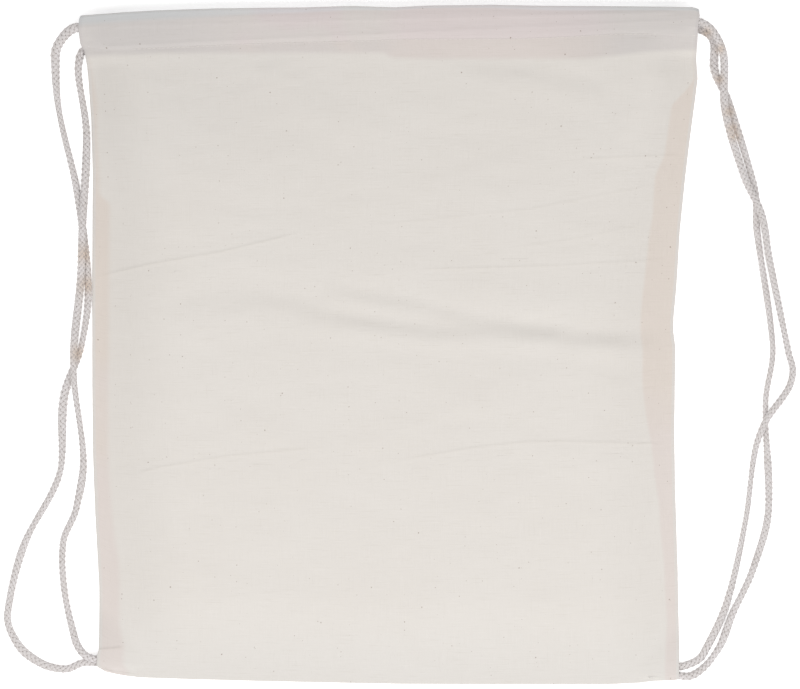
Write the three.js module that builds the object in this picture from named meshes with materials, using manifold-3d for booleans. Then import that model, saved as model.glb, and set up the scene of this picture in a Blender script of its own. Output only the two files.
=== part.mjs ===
// Cotton drawstring bag, lying on its back on a flat surface.
// One cloth is folded up at the bottom, sewn at both sides and hemmed at the top into two casings,
// one on the front and one on the back, with the mouth between them. Two cords run through both
// casings in opposite directions, and the ends of each are sewn into a bottom corner.
// Millimetres. X runs across the bag, Y from its bottom to its mouth, Z up from the surface.

import * as THREE from "three";
import { mergeVertices } from "three/addons/utils/BufferGeometryUtils.js";
import Module from "manifold-3d";

const wasm = await Module();
wasm.setup();

// Driving sizes
const CLOTH = 1.0;               // thickness of one layer
const CORD_DIAMETER = 4.0;
const CORD_SIDES = 10;
const CORD_STEPS = 78;           // steps along one whole cord
const CLEARANCE = 0.3;           // between a cord and the cloth around it
const TUNNEL = 4.6;              // height inside a casing
const MOUTH = 5.2;               // gap between the two casings
const HALF_WIDTH = 192;          // at the casings
const LOFT = 16.2;               // height of the bag over its middle
const SEAM_HEIGHT = 2.4;         // two layers at a side seam
const SEAM_WIDTH = 4;            // from the bag's edge to the hollow inside
const TURN_ROOM = 28;            // length at each end of a casing left open for a cord's turn
const SEWN_BAND = 2;             // between the hollow inside and the casings' stitching
const SLIT_LENGTH = 9;           // opening under the left end of the casings, from the bag's edge
const SLIT_DROP = 5;             // and how far it reaches below the stitching
const PAST_EDGE = 8;             // how far a cut runs on beyond the bag's edge
const BORE_END = 0.04;           // how far a corner's bore runs past the cord's end, as a share of a piece
const BORE_STEPS = 4;
const FLAT_ENOUGH = 0.04;        // facets nearer than this to one plane become one
const RISE_SIDE = 40;            // distance over which the front rises from a side seam
const RISE_BOTTOM = 40;          // and from the bottom fold
const CASING_FALL = 46;          // distance over which the casing's height falls away below it

// Heights of the layers in the casings, from the surface up
const BACK_CEILING = CLOTH + TUNNEL;
const MOUTH_FLOOR = BACK_CEILING + CLOTH;
const MOUTH_CEILING = MOUTH_FLOOR + MOUTH;
const FRONT_FLOOR = MOUTH_CEILING + CLOTH;
const CASING_HEIGHT = FRONT_FLOOR + TUNNEL + CLOTH;

// Outline of the bag, seen from above
const LEFT_EDGE = [
  { y: 204.0, x: -190.6 }, { y: 201.4, x: -191.8 }, { y: 194.6, x: -192.0 }, { y: 185.5, x: -190.8 },
  { y: 181.5, x: -188.6 }, { y: 169.0, x: -186.8 }, { y: 153.0, x: -185.2 }, { y: 138.0, x: -184.0 },
  { y: 107.0, x: -183.4 }, { y: 63.0, x: -184.1 }, { y: 22.0, x: -184.2 }, { y: -24.0, x: -183.7 },
  { y: -66.0, x: -183.4 }, { y: -104.0, x: -181.6 }, { y: -152.0, x: -179.0 }, { y: -189.5, x: -179.7 },
  { y: -193.0, x: -181.2 }, { y: -200.5, x: -181.2 }, { y: -203.0, x: -177.0 },
];
const RIGHT_EDGE = [
  { y: 209.0, x: 188.9 }, { y: 203.2, x: 192.0 }, { y: 196.4, x: 191.5 }, { y: 175.3, x: 190.4 },
  { y: 165.0, x: 190.8 }, { y: 154.3, x: 189.5 }, { y: 121.4, x: 185.2 }, { y: 99.7, x: 182.7 },
  { y: 70.0, x: 179.6 }, { y: 35.0, x: 177.8 }, { y: 16.0, x: 176.0 }, { y: 6.0, x: 175.9 },
  { y: -2.0, x: 177.1 }, { y: -53.4, x: 176.5 }, { y: -89.0, x: 177.1 }, { y: -140.0, x: 178.4 },
  { y: -185.0, x: 179.6 }, { y: -207.2, x: 179.6 },
];
const TOP_EDGE = [
  { x: -192.0, y: 203.6 }, { x: -162.0, y: 206.0 }, { x: -131.6, y: 207.3 }, { x: -84.0, y: 208.4 },
  { x: -50.0, y: 208.4 }, { x: -23.7, y: 209.6 }, { x: 3.0, y: 208.4 }, { x: 24.0, y: 209.8 },
  { x: 52.5, y: 210.3 }, { x: 86.6, y: 209.4 }, { x: 108.0, y: 209.8 }, { x: 137.0, y: 209.2 },
  { x: 160.0, y: 209.6 }, { x: 188.9, y: 208.9 }, { x: 192.0, y: 203.4 },
];
const BOTTOM_EDGE = [
  { x: -192.0, y: -200.2 }, { x: -181.2, y: -200.2 }, { x: -176.3, y: -203.0 }, { x: -161.4, y: -205.5 },
  { x: -146.5, y: -206.3 }, { x: -83.3, y: -207.8 }, { x: 11.6, y: -209.1 }, { x: 106.5, y: -210.3 },
  { x: 143.0, y: -210.3 }, { x: 165.4, y: -207.9 }, { x: 192.0, y: -207.2 },
];
// Stitching that closes the casings along their lower side
const STITCH_LINE = [{ x: -192.0, y: 181.5 }, { x: 192.0, y: 186.1 }];

// Main folds of the front, each a ridge or a trough along a line: height at its middle, and half width
const FOLDS = [
  { name: "long trough", height: -2.6, width: 17,
    line: [[-115, 25], [-66, 28], [-20, 26], [12, 20], [59, 7], [100, 3], [154, 5]] },
  { name: "ridge under it", height: 1.5, width: 20,
    line: [[-110, -8], [-50, -10], [0, -12], [60, -28], [140, -30]] },
  { name: "upper left crease", height: -1.3, width: 9, line: [[-176, 42], [-115, 54], [-52, 69]] },
  { name: "lower left crease", height: -1.4, width: 9, line: [[-146, -78], [-83, -67], [-45, -65]] },
  { name: "lower right crease", height: -1.4, width: 9,
    line: [[2, -73], [43, -67], [75, -62], [106, -60], [166, -63]] },
  { name: "right crease", height: -1.1, width: 9, line: [[100, 42], [176, 53]] },
  { name: "upper right crease", height: -1.0, width: 9, line: [[126, 93], [180, 97]] },
  { name: "upper right trough", height: -1.5, width: 14, line: [[75, 164], [138, 156]] },
  { name: "upper left trough", height: -1.6, width: 16, line: [[-67, 160], [-42, 140], [-20, 118]] },
];

// Lumps where the ends of a cord are sewn into a bottom corner
const CORNERS = [
  { name: "left", x: -176, y: -196.5, height: 10.9, reach: 12 },
  { name: "right", x: 175, y: -202, height: 7.0, reach: 11 },
];

// Routes of the two cords, as points of the cord's middle, each from one sewn end to the other
const ON_SURFACE = 2.2;
const OVER = 6.8;                // where a cord passes over itself
const IN_BACK = CLOTH + TUNNEL / 2;
const IN_FRONT = FRONT_FLOOR + TUNNEL / 2;
const IN_TURN = (IN_BACK + IN_FRONT) / 2;
const LEFT_ROUTE = [
  [-173.5, -198.6, 3.35], [-189.5, -198.0, 2.9], [-201.5, -202.0, ON_SURFACE], [-217.0, -198.0, ON_SURFACE],
  [-231.0, -186.0, ON_SURFACE], [-237.0, -167.0, ON_SURFACE], [-227.0, -125.5, ON_SURFACE],
  [-209.0, -91.5, ON_SURFACE], [-203.5, -73.5, ON_SURFACE], [-202.0, -33.0, ON_SURFACE],
  [-190.9, 0.0, ON_SURFACE], [-187.1, 38.3, ON_SURFACE], [-194.1, 95.4, 2.3], [-205.0, 144.0, 2.7],
  [-207.2, 178.4, 7.4], [-202.0, 190.2, 11.6], [-192.0, 196.0, 14.8], [170.0, 204.9, IN_FRONT],
  [181.9, 205.0, 12.2], [187.2, 202.3, 10.7], [189.4, 196.7, IN_TURN], [187.2, 191.1, 7.7],
  [181.9, 188.4, 6.2], [170.0, 188.4, IN_BACK], [-184.1, 184.4, IN_BACK], [-189.7, 182.3, 3.2],
  [-192.5, 177.0, 3.0], [-193.0, 166.0, 2.8], [-188.0, 128.0, 2.6], [-190.5, 70.0, OVER],
  [-191.6, 39.0, 5.2], [-196.0, -14.5, OVER], [-190.0, -70.0, 2.7], [-194.5, -102.5, ON_SURFACE],
  [-202.5, -123.5, ON_SURFACE], [-201.8, -152.6, ON_SURFACE], [-195.5, -182.0, 3.6],
  [-190.4, -191.8, 5.8], [-183.0, -195.5, 6.9], [-173.5, -195.6, 7.2],
];
const RIGHT_ROUTE = [
  [172.5, -200.0, 3.35], [184.0, -199.7, 2.9], [195.0, -192.5, 2.6], [210.0, -159.5, ON_SURFACE],
  [221.2, -109.6, 2.5], [226.3, -70.0, 4.6], [233.0, -49.0, OVER], [247.0, -29.0, 4.4], [250.5, -17.0, 3.2],
  [248.0, -6.0, 2.4], [235.9, 52.0, 5.6], [231.0, 80.0, OVER], [220.0, 104.5, 5.4], [208.4, 144.5, 6.7],
  [207.5, 177.2, 8.4], [200.9, 193.2, 12.6], [190.0, 200.2, 15.0], [176.0, 200.0, IN_FRONT],
  [-170.0, 184.4, IN_FRONT],
  [-181.9, 184.4, 12.2], [-187.2, 187.1, 10.7], [-189.4, 192.7, IN_TURN], [-187.2, 198.3, 7.7],
  [-181.9, 201.0, 6.2], [-170.0, 200.9, IN_BACK], [176.0, 195.9, IN_BACK], [190.8, 195.6, 3.1],
  [201.1, 188.2, 2.6], [202.1, 169.1, ON_SURFACE], [210.3, 151.0, ON_SURFACE], [226.5, 98.0, ON_SURFACE],
  [228.5, 68.0, ON_SURFACE], [238.0, -0.5, ON_SURFACE], [233.5, -38.5, ON_SURFACE],
  [235.5, -102.0, ON_SURFACE], [226.0, -139.5, ON_SURFACE], [213.0, -168.0, ON_SURFACE],
  [204.0, -190.0, ON_SURFACE], [189.0, -205.5, 2.8], [172.5, -204.8, 3.35],
];

const clamp01 = (t) => Math.min(1, Math.max(0, t));
const smooth = (t) => clamp01(t) ** 2 * (3 - 2 * clamp01(t));
const mix = (a, b, t) => a + (b - a) * t;

// Value of one column of a table at a value of another column that rises or falls steadily
function lookUp(table, from, to) {
  const rows = [...table].sort((a, b) => a[from] - b[from]);
  return (value) => {
    if (value <= rows[0][from]) return rows[0][to];
    for (let i = 1; i < rows.length; i += 1) {
      const [a, b] = [rows[i - 1], rows[i]];
      if (value <= b[from]) return mix(a[to], b[to], (value - a[from]) / (b[from] - a[from]));
    }
    return rows.at(-1)[to];
  };
}
const leftEdge = lookUp(LEFT_EDGE, "y", "x");
const rightEdge = lookUp(RIGHT_EDGE, "y", "x");
const topEdge = lookUp(TOP_EDGE, "x", "y");
const bottomEdge = lookUp(BOTTOM_EDGE, "x", "y");
const stitchLine = lookUp(STITCH_LINE, "x", "y");

function distanceToLine(x, y, line) {
  let nearest = Infinity;
  for (let i = 1; i < line.length; i += 1) {
    const [[ax, ay], [bx, by]] = [line[i - 1], line[i]];
    const [dx, dy] = [bx - ax, by - ay];
    const t = clamp01(((x - ax) * dx + (y - ay) * dy) / (dx * dx + dy * dy));
    nearest = Math.min(nearest, Math.hypot(x - ax - t * dx, y - ay - t * dy));
  }
  return nearest;
}

// Height of the front's outer face over a point of the bag
function frontHeight(x, y) {
  const fromSide = Math.min(x - leftEdge(y), rightEdge(y) - x);
  const rise = smooth(fromSide / RISE_SIDE) * smooth((y - bottomEdge(x)) / RISE_BOTTOM);
  const folds = FOLDS.reduce((sum, fold) => {
    const away = distanceToLine(x, y, fold.line) / fold.width;
    return sum + fold.height * Math.exp(-away * away);
  }, 0);
  const pouch = mix(SEAM_HEIGHT, LOFT + folds, rise);
  const underCasing = smooth(1 - (stitchLine(x) - SEWN_BAND - y) / CASING_FALL);
  const lumps = CORNERS.map((corner) => {
    const away = Math.hypot(x - corner.x, y - corner.y) / corner.reach;
    return corner.height * Math.exp(-(away ** 4));
  });
  return Math.max(mix(pouch, CASING_HEIGHT, underCasing), ...lumps);
}

// Closed body over a grid: place gives x and y at a column and a row, low and high its two faces
function slab(columns, rows, place, low, high) {
  const across = columns.length;
  const corners = [];
  for (const face of [low, high]) {
    for (const row of rows) {
      for (const column of columns) {
        const [x, y] = place(column, row);
        corners.push(x, y, face(x, y));
      }
    }
  }
  const at = (layer, i, j) => (layer * rows.length + j) * across + i;
  const faces = [];
  const quad = (a, b, c, d) => faces.push(a, b, c, a, c, d);
  for (let j = 0; j < rows.length - 1; j += 1) {
    for (let i = 0; i < across - 1; i += 1) {
      quad(at(1, i, j), at(1, i + 1, j), at(1, i + 1, j + 1), at(1, i, j + 1));
      quad(at(0, i, j), at(0, i, j + 1), at(0, i + 1, j + 1), at(0, i + 1, j));
    }
  }
  for (let i = 0; i < across - 1; i += 1) {
    const last = rows.length - 1;
    quad(at(0, i, 0), at(0, i + 1, 0), at(1, i + 1, 0), at(1, i, 0));
    quad(at(0, i + 1, last), at(0, i, last), at(1, i, last), at(1, i + 1, last));
  }
  for (let j = 0; j < rows.length - 1; j += 1) {
    const last = across - 1;
    quad(at(0, 0, j + 1), at(0, 0, j), at(1, 0, j), at(1, 0, j + 1));
    quad(at(0, last, j), at(0, last, j + 1), at(1, last, j + 1), at(1, last, j));
  }
  const geometry = new THREE.BufferGeometry();
  geometry.setAttribute("position", new THREE.Float32BufferAttribute(corners, 3));
  geometry.setIndex(faces);
  return geometry;
}

function toSolid(source) {
  const geometry = source.clone();
  geometry.deleteAttribute("normal");
  geometry.deleteAttribute("uv");
  const merged = mergeVertices(geometry, 1e-4);
  return new wasm.Manifold(new wasm.Mesh({
    numProp: 3,
    vertProperties: new Float32Array(merged.attributes.position.array),
    triVerts: new Uint32Array(merged.index.array),
  }));
}

function toGeometry(solid) {
  const mesh = solid.getMesh();
  const geometry = new THREE.BufferGeometry();
  geometry.setAttribute("position", new THREE.Float32BufferAttribute(mesh.vertProperties, mesh.numProp));
  geometry.setIndex([...mesh.triVerts]);
  return geometry;
}

// Even steps from 0 to 1, with extra lines where the bag's edge curves most
function steps(count, extra = []) {
  const even = Array.from({ length: count + 1 }, (_, i) => i / count);
  return [...even, ...extra].sort((a, b) => a - b);
}

// Pouch, one cloth: its outer form, less the hollow, the mouth, the casings and the corners' bores
function makePouch() {
  const columns = steps(46, [0.006, 0.994]);
  const rows = steps(50, [0.01, 0.03, 0.945, 0.985]);
  const byShare = (inset) => (u, v) => {
    const x = mix(-HALF_WIDTH, HALF_WIDTH, u);
    const y = mix(bottomEdge(x) + inset, topEdge(x), v);
    return [mix(leftEdge(y) + inset, rightEdge(y) - inset, u), y];
  };
  const outside = slab(columns, rows, byShare(0), () => 0, frontHeight);

  // The hollow keeps one layer under the front's outer face, and ends at the casings' stitching
  const inPouch = (u, v) => {
    const x = mix(-HALF_WIDTH, HALF_WIDTH, u);
    const y = mix(bottomEdge(x) + SEAM_WIDTH, stitchLine(x) - SEWN_BAND, v);
    return [mix(leftEdge(y) + SEAM_WIDTH, rightEdge(y) - SEAM_WIDTH, u), y];
  };
  const underFront = (x, y) => Math.max(frontHeight(x, y) - CLOTH, CLOTH + CLEARANCE);
  const hollow = slab(steps(46), steps(46), inPouch, () => CLOTH, underFront);

  // A space across the casings, between two heights and two lines
  const across = (xs, fromY, toY, low, high) => slab(xs, [0, 1],
    (x, t) => [x, mix(fromY(x), toY(x), t)], () => low, () => high);
  const endToEnd = [-HALF_WIDTH - PAST_EDGE, ...TOP_EDGE.map((row) => row.x), HALF_WIDTH + PAST_EDGE];
  const underFold = (x) => topEdge(x) - CLOTH;
  const mouth = across(endToEnd, (x) => stitchLine(x) - SEWN_BAND - CLOTH, (x) => topEdge(x) + PAST_EDGE,
    MOUTH_FLOOR, MOUTH_CEILING);
  const backTunnel = across(endToEnd, stitchLine, underFold, CLOTH, BACK_CEILING);
  const frontTunnel = across(endToEnd, stitchLine, underFold, FRONT_FLOOR, CASING_HEIGHT - CLOTH);
  const turnRoom = (side) => {
    const inner = side * (HALF_WIDTH - TURN_ROOM);
    const xs = [inner, ...endToEnd.filter((x) => side * x > side * inner)].sort((a, b) => a - b);
    return across(xs, stitchLine, underFold, CLOTH, CASING_HEIGHT - CLOTH);
  };
  // Slit at the left end, where the back casing's cord comes out below the corner
  const slit = across([-HALF_WIDTH - PAST_EDGE, -HALF_WIDTH + SLIT_LENGTH],
    (x) => stitchLine(x) - SLIT_DROP, (x) => stitchLine(x) + CLOTH, CLOTH, BACK_CEILING);

  const bores = [LEFT_ROUTE, RIGHT_ROUTE].flatMap((route) => [
    new Route(route, -BORE_END, 1), new Route(route, route.length - 2, route.length - 1 + BORE_END),
  ]).map((curve) => tube(curve, CORD_DIAMETER / 2 + CLEARANCE, BORE_STEPS));

  const cuts = [hollow, mouth, backTunnel, frontTunnel, turnRoom(-1), turnRoom(1), slit, ...bores];
  const solid = cuts.reduce((body, cut) => body.subtract(toSolid(cut)), toSolid(outside));
  return toGeometry(solid.asOriginal().simplify(FLAT_ENOUGH));
}

// Curve through a route's points. At each point its way lies between those of the two chords that
// meet there, nearer the longer one's, so that a long run stays straight. Each piece's tangents are
// about as long as its chord, so that a tight turn stays round.
const TANGENT_LENGTH = 1.04;
class Route extends THREE.Curve {
  constructor(points, first = 0, last = points.length - 1) {
    super();
    this.points = points.map((point) => new THREE.Vector3(...point));
    this.first = first;
    this.last = last;
    const chords = this.points.slice(1).map((point, i) => point.clone().sub(this.points[i]));
    this.lengths = chords.map((chord) => chord.length() * TANGENT_LENGTH);
    const pulls = chords.map((chord) => chord.multiplyScalar(chord.length()));
    this.tangents = this.points.map((_, i) => (pulls[i - 1] ?? pulls[i]).clone()
      .add(pulls[i] ?? pulls[i - 1]).normalize());
  }

  getPoint(share, target = new THREE.Vector3()) {
    const at = mix(this.first, this.last, share);
    const i = Math.min(Math.max(Math.floor(at), 0), this.points.length - 2);
    const t = at - i;
    const [t2, t3] = [t * t, t * t * t];
    return target.set(0, 0, 0)
      .addScaledVector(this.points[i], 2 * t3 - 3 * t2 + 1)
      .addScaledVector(this.points[i + 1], 3 * t2 - 2 * t3)
      .addScaledVector(this.tangents[i], (t3 - 2 * t2 + t) * this.lengths[i])
      .addScaledVector(this.tangents[i + 1], (t3 - t2) * this.lengths[i]);
  }

  // Steps go by point and not by length, so that the tight turns get short ones
  getUtoTmapping(share) {
    return share;
  }
}

function tube(curve, radius, stepCount) {
  const section = new THREE.Shape();
  for (let i = 0; i < CORD_SIDES; i += 1) {
    const turn = (2 * Math.PI * i) / CORD_SIDES;
    const [x, y] = [radius * Math.cos(turn), radius * Math.sin(turn)];
    if (i === 0) section.moveTo(x, y);
    else section.lineTo(x, y);
  }
  section.closePath();
  return new THREE.ExtrudeGeometry(section, {
    extrudePath: curve, steps: stepCount, bevelEnabled: false, curveSegments: 1,
  });
}

const calico = new THREE.MeshStandardMaterial({ color: 0xdcd6cc, roughness: 0.95, metalness: 0 });
const braid = new THREE.MeshStandardMaterial({ color: 0xd2cac2, roughness: 0.9, metalness: 0 });

function piece(name, geometry, material) {
  const mesh = new THREE.Mesh(geometry, material);
  mesh.name = name;
  return mesh;
}

const group = new THREE.Group();
group.add(piece("pouch", makePouch(), calico));
group.add(piece("cord_left", tube(new Route(LEFT_ROUTE), CORD_DIAMETER / 2, CORD_STEPS), braid));
group.add(piece("cord_right", tube(new Route(RIGHT_ROUTE), CORD_DIAMETER / 2, CORD_STEPS), braid.clone()));

export default group;
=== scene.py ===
# Cotton drawstring bag, lying on its back on a pale floor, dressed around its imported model.
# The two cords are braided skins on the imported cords' own routes. The pouch is one cloth, followed
# from the hem in the front casing over the front, round the bottom, up the back and into the back
# casing. The stitching of its casings is made with Geometry Nodes.
# Metres. X runs across the bag, Y from its bottom to its mouth, Z up from the floor.

import math

import bpy
import numpy as np
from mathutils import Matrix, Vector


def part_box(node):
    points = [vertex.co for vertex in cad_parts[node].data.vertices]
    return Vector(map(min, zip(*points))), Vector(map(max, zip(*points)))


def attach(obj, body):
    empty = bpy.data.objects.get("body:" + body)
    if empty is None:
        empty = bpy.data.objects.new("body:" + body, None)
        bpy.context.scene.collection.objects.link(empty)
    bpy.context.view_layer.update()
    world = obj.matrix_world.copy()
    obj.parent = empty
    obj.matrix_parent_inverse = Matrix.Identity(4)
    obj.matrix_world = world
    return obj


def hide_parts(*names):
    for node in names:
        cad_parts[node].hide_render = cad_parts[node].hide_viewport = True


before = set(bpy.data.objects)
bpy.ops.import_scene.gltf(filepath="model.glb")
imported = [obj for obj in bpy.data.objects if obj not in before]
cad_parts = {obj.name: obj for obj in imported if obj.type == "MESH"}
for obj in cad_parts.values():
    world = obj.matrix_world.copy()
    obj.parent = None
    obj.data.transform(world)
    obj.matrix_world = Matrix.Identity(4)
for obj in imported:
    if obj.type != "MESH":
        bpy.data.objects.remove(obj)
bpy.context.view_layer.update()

bl_info = {
    "name": "Cotton Drawstring Bag",
    "version": (1, 0, 0),
    "blender": (4, 5, 0),
    "location": "3D View > Sidebar > Drawstring Bag",
    "description": "Dresses the packed model of a cotton drawstring bag with cloth, cords and stitching",
    "category": "Object",
}

POUCH_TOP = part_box("pouch")[1].z

# Heights of the cords' middles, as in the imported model: inside its casings, in the turn from one casing
# to the other, on the floor and over another strand
IN_BACK = 0.0033
IN_FRONT = 0.0151
IN_TURN = (IN_BACK + IN_FRONT) / 2
ON_FLOOR = 0.0022
OVER = 0.0068

# Outline of the bag from above: pairs of (y, x) for its sides and (x, y) for its top and bottom
HALF_WIDTH = 0.192
LEFT_EDGE = [
    (0.2040, -0.1906), (0.2014, -0.1920), (0.1946, -0.1925), (0.1855, -0.1915), (0.1815, -0.1890),
    (0.1690, -0.1872), (0.1530, -0.1861), (0.1380, -0.1850), (0.1070, -0.1841), (0.0630, -0.1844),
    (0.0220, -0.1845), (-0.0240, -0.1845), (-0.0660, -0.1841), (-0.1040, -0.1827), (-0.1520, -0.1801),
    (-0.1895, -0.1801), (-0.1930, -0.1813), (-0.2000, -0.1813), (-0.2030, -0.1790),
]
RIGHT_EDGE = [
    (0.2092, 0.1900), (0.2070, 0.1917), (0.2032, 0.1921), (0.1964, 0.1911), (0.1753, 0.1905),
    (0.1650, 0.1915), (0.1543, 0.1902), (0.1214, 0.1859), (0.0997, 0.1834), (0.0700, 0.1804),
    (0.0350, 0.1783), (0.0160, 0.1765), (0.0060, 0.1764), (-0.0020, 0.1777), (-0.0534, 0.1770),
    (-0.0890, 0.1775), (-0.1400, 0.1791), (-0.1850, 0.1800), (-0.2080, 0.1798),
]
TOP_EDGE = [
    (-0.1920, 0.2034), (-0.1806, 0.2043), (-0.1670, 0.2053), (-0.1484, 0.2064), (-0.1110, 0.2077),
    (-0.0740, 0.2082), (-0.0554, 0.2083), (-0.0237, 0.2093), (0.0030, 0.2084), (0.0240, 0.2095),
    (0.0650, 0.2100), (0.0934, 0.2094), (0.1306, 0.2092), (0.1740, 0.2088), (0.1895, 0.2085),
    (0.1920, 0.2076),
]
BOTTOM_EDGE = [
    (-0.1920, -0.2012), (-0.1898, -0.2033), (-0.1831, -0.2050), (-0.1765, -0.2061), (-0.1666, -0.2073),
    (-0.1316, -0.2084), (-0.0919, -0.2094), (-0.0323, -0.2106), (0.0074, -0.2113), (0.0669, -0.2115),
    (0.1463, -0.2115), (0.1662, -0.2106), (0.1761, -0.2094), (0.1893, -0.2090), (0.1920, -0.2084),
]

# Routes of the cords' middles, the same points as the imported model's
LEFT_ROUTE = [
    (-0.1735, -0.1986, 0.00335), (-0.1895, -0.1980, 0.0029), (-0.2015, -0.2020, ON_FLOOR),
    (-0.2170, -0.1980, ON_FLOOR), (-0.2310, -0.1860, ON_FLOOR), (-0.2370, -0.1670, ON_FLOOR),
    (-0.2270, -0.1255, ON_FLOOR), (-0.2090, -0.0915, ON_FLOOR), (-0.2035, -0.0735, ON_FLOOR),
    (-0.2020, -0.0330, ON_FLOOR), (-0.1909, 0.0000, ON_FLOOR), (-0.1871, 0.0383, ON_FLOOR),
    (-0.1941, 0.0954, 0.0023), (-0.2050, 0.1440, 0.0027), (-0.2072, 0.1784, 0.0074),
    (-0.2020, 0.1902, 0.0116), (-0.1920, 0.1960, 0.0148), (0.1700, 0.2049, IN_FRONT),
    (0.1819, 0.2050, 0.0122), (0.1872, 0.2023, 0.0107), (0.1894, 0.1967, IN_TURN), (0.1872, 0.1911, 0.0077),
    (0.1819, 0.1884, 0.0062), (0.1700, 0.1884, IN_BACK), (-0.1841, 0.1844, IN_BACK),
    (-0.1897, 0.1823, 0.0032), (-0.1925, 0.1770, 0.0030), (-0.1930, 0.1660, 0.0028),
    (-0.1880, 0.1280, 0.0026), (-0.1905, 0.0700, OVER), (-0.1916, 0.0390, 0.0052), (-0.1960, -0.0145, OVER),
    (-0.1900, -0.0700, 0.0027), (-0.1945, -0.1025, ON_FLOOR), (-0.2025, -0.1235, ON_FLOOR),
    (-0.2018, -0.1526, ON_FLOOR), (-0.1955, -0.1820, 0.0036), (-0.1904, -0.1918, 0.0058),
    (-0.1830, -0.1955, 0.0069), (-0.1735, -0.1956, 0.0072),
]
RIGHT_ROUTE = [
    (0.1725, -0.2000, 0.00335), (0.1840, -0.1997, 0.0029), (0.1950, -0.1925, 0.0026),
    (0.2100, -0.1595, ON_FLOOR), (0.2212, -0.1096, 0.0025), (0.2263, -0.0700, 0.0046),
    (0.2330, -0.0490, OVER), (0.2470, -0.0290, 0.0044), (0.2505, -0.0170, 0.0032),
    (0.2480, -0.0060, 0.0024), (0.2359, 0.0520, 0.0056), (0.2310, 0.0800, OVER), (0.2200, 0.1045, 0.0054),
    (0.2084, 0.1445, 0.0067), (0.2075, 0.1772, 0.0084), (0.2009, 0.1932, 0.0126), (0.1900, 0.2002, 0.0150),
    (0.1760, 0.2000, IN_FRONT), (-0.1700, 0.1844, IN_FRONT), (-0.1819, 0.1844, 0.0122),
    (-0.1872, 0.1871, 0.0107), (-0.1894, 0.1927, IN_TURN), (-0.1872, 0.1983, 0.0077),
    (-0.1819, 0.2010, 0.0062), (-0.1700, 0.2009, IN_BACK), (0.1760, 0.1959, IN_BACK),
    (0.1908, 0.1956, 0.0031), (0.2011, 0.1882, 0.0026), (0.2021, 0.1691, ON_FLOOR),
    (0.2103, 0.1510, ON_FLOOR), (0.2265, 0.0980, ON_FLOOR), (0.2285, 0.0680, ON_FLOOR),
    (0.2380, -0.0005, ON_FLOOR), (0.2335, -0.0385, ON_FLOOR), (0.2355, -0.1020, ON_FLOOR),
    (0.2260, -0.1395, ON_FLOOR), (0.2130, -0.1680, ON_FLOOR), (0.2040, -0.1900, ON_FLOOR),
    (0.1890, -0.2055, 0.0028), (0.1725, -0.2048, 0.00335),
]

# Width of each cord where its braid is pressed flat or pulled thin: pairs of the length run and the share
# of the diameter
LEFT_WIDTHS = [
    (0.000, 1.00), (0.030, 1.06), (0.055, 1.26), (0.075, 1.00), (0.100, 1.02), (0.122, 1.14), (0.141, 0.90),
    (0.170, 1.00), (0.180, 0.88), (0.215, 1.30), (0.232, 1.18), (0.262, 0.86), (0.285, 1.02), (0.335, 1.10),
    (0.360, 1.00), (0.405, 0.82), (0.440, 1.32), (0.463, 1.38), (0.482, 1.00), (1.225, 1.00), (1.245, 1.12),
    (1.268, 0.90), (1.313, 1.18), (1.345, 1.08), (1.414, 1.16), (1.448, 0.86), (1.478, 0.80), (1.512, 1.14),
    (1.530, 0.96), (1.595, 0.95), (1.614, 1.10), (1.638, 1.00),
]
RIGHT_WIDTHS = [
    (0.000, 1.04), (0.040, 1.14), (0.060, 1.08), (0.076, 0.94), (0.112, 0.78), (0.141, 0.76), (0.160, 0.90),
    (0.190, 1.02), (0.240, 0.90), (0.262, 1.00), (0.340, 1.08), (0.410, 1.12), (0.440, 1.06), (0.480, 1.00),
    (1.210, 1.00), (1.243, 1.24), (1.256, 1.10), (1.285, 1.10), (1.306, 0.95), (1.345, 1.04), (1.371, 0.88),
    (1.392, 0.97), (1.421, 0.82), (1.478, 0.82), (1.497, 1.12), (1.525, 1.02), (1.541, 1.08), (1.585, 0.95),
    (1.607, 1.15), (1.625, 0.93), (1.640, 1.12), (1.657, 1.04),
]
CORDS = [
    {"name": "cord_left", "route": LEFT_ROUTE, "widths": LEFT_WIDTHS,
     "exit": (-0.1815, -0.1983, 0.0031), "length": 1.638},
    {"name": "cord_right", "route": RIGHT_ROUTE, "widths": RIGHT_WIDTHS,
     "exit": (0.1796, -0.1999, 0.0031), "length": 1.658},
]
# Places where strands touch, painted browner as the shade between them, and how far the painted shade reaches
SHADED_CONTACTS = [
    (0.1969, 0.1928, 0.0032), (0.2055, 0.1826, 0.0030), (0.2046, 0.1640, 0.0030), (0.2108, 0.1441, 0.0036),
    (0.2130, 0.1334, 0.0038), (0.2140, 0.1290, 0.0036), (-0.1887, 0.0551, 0.0060), (-0.1868, 0.0365, 0.0060),
    (-0.1930, -0.0060, 0.0050),
]


# Sizes and colours that a user may change


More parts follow.
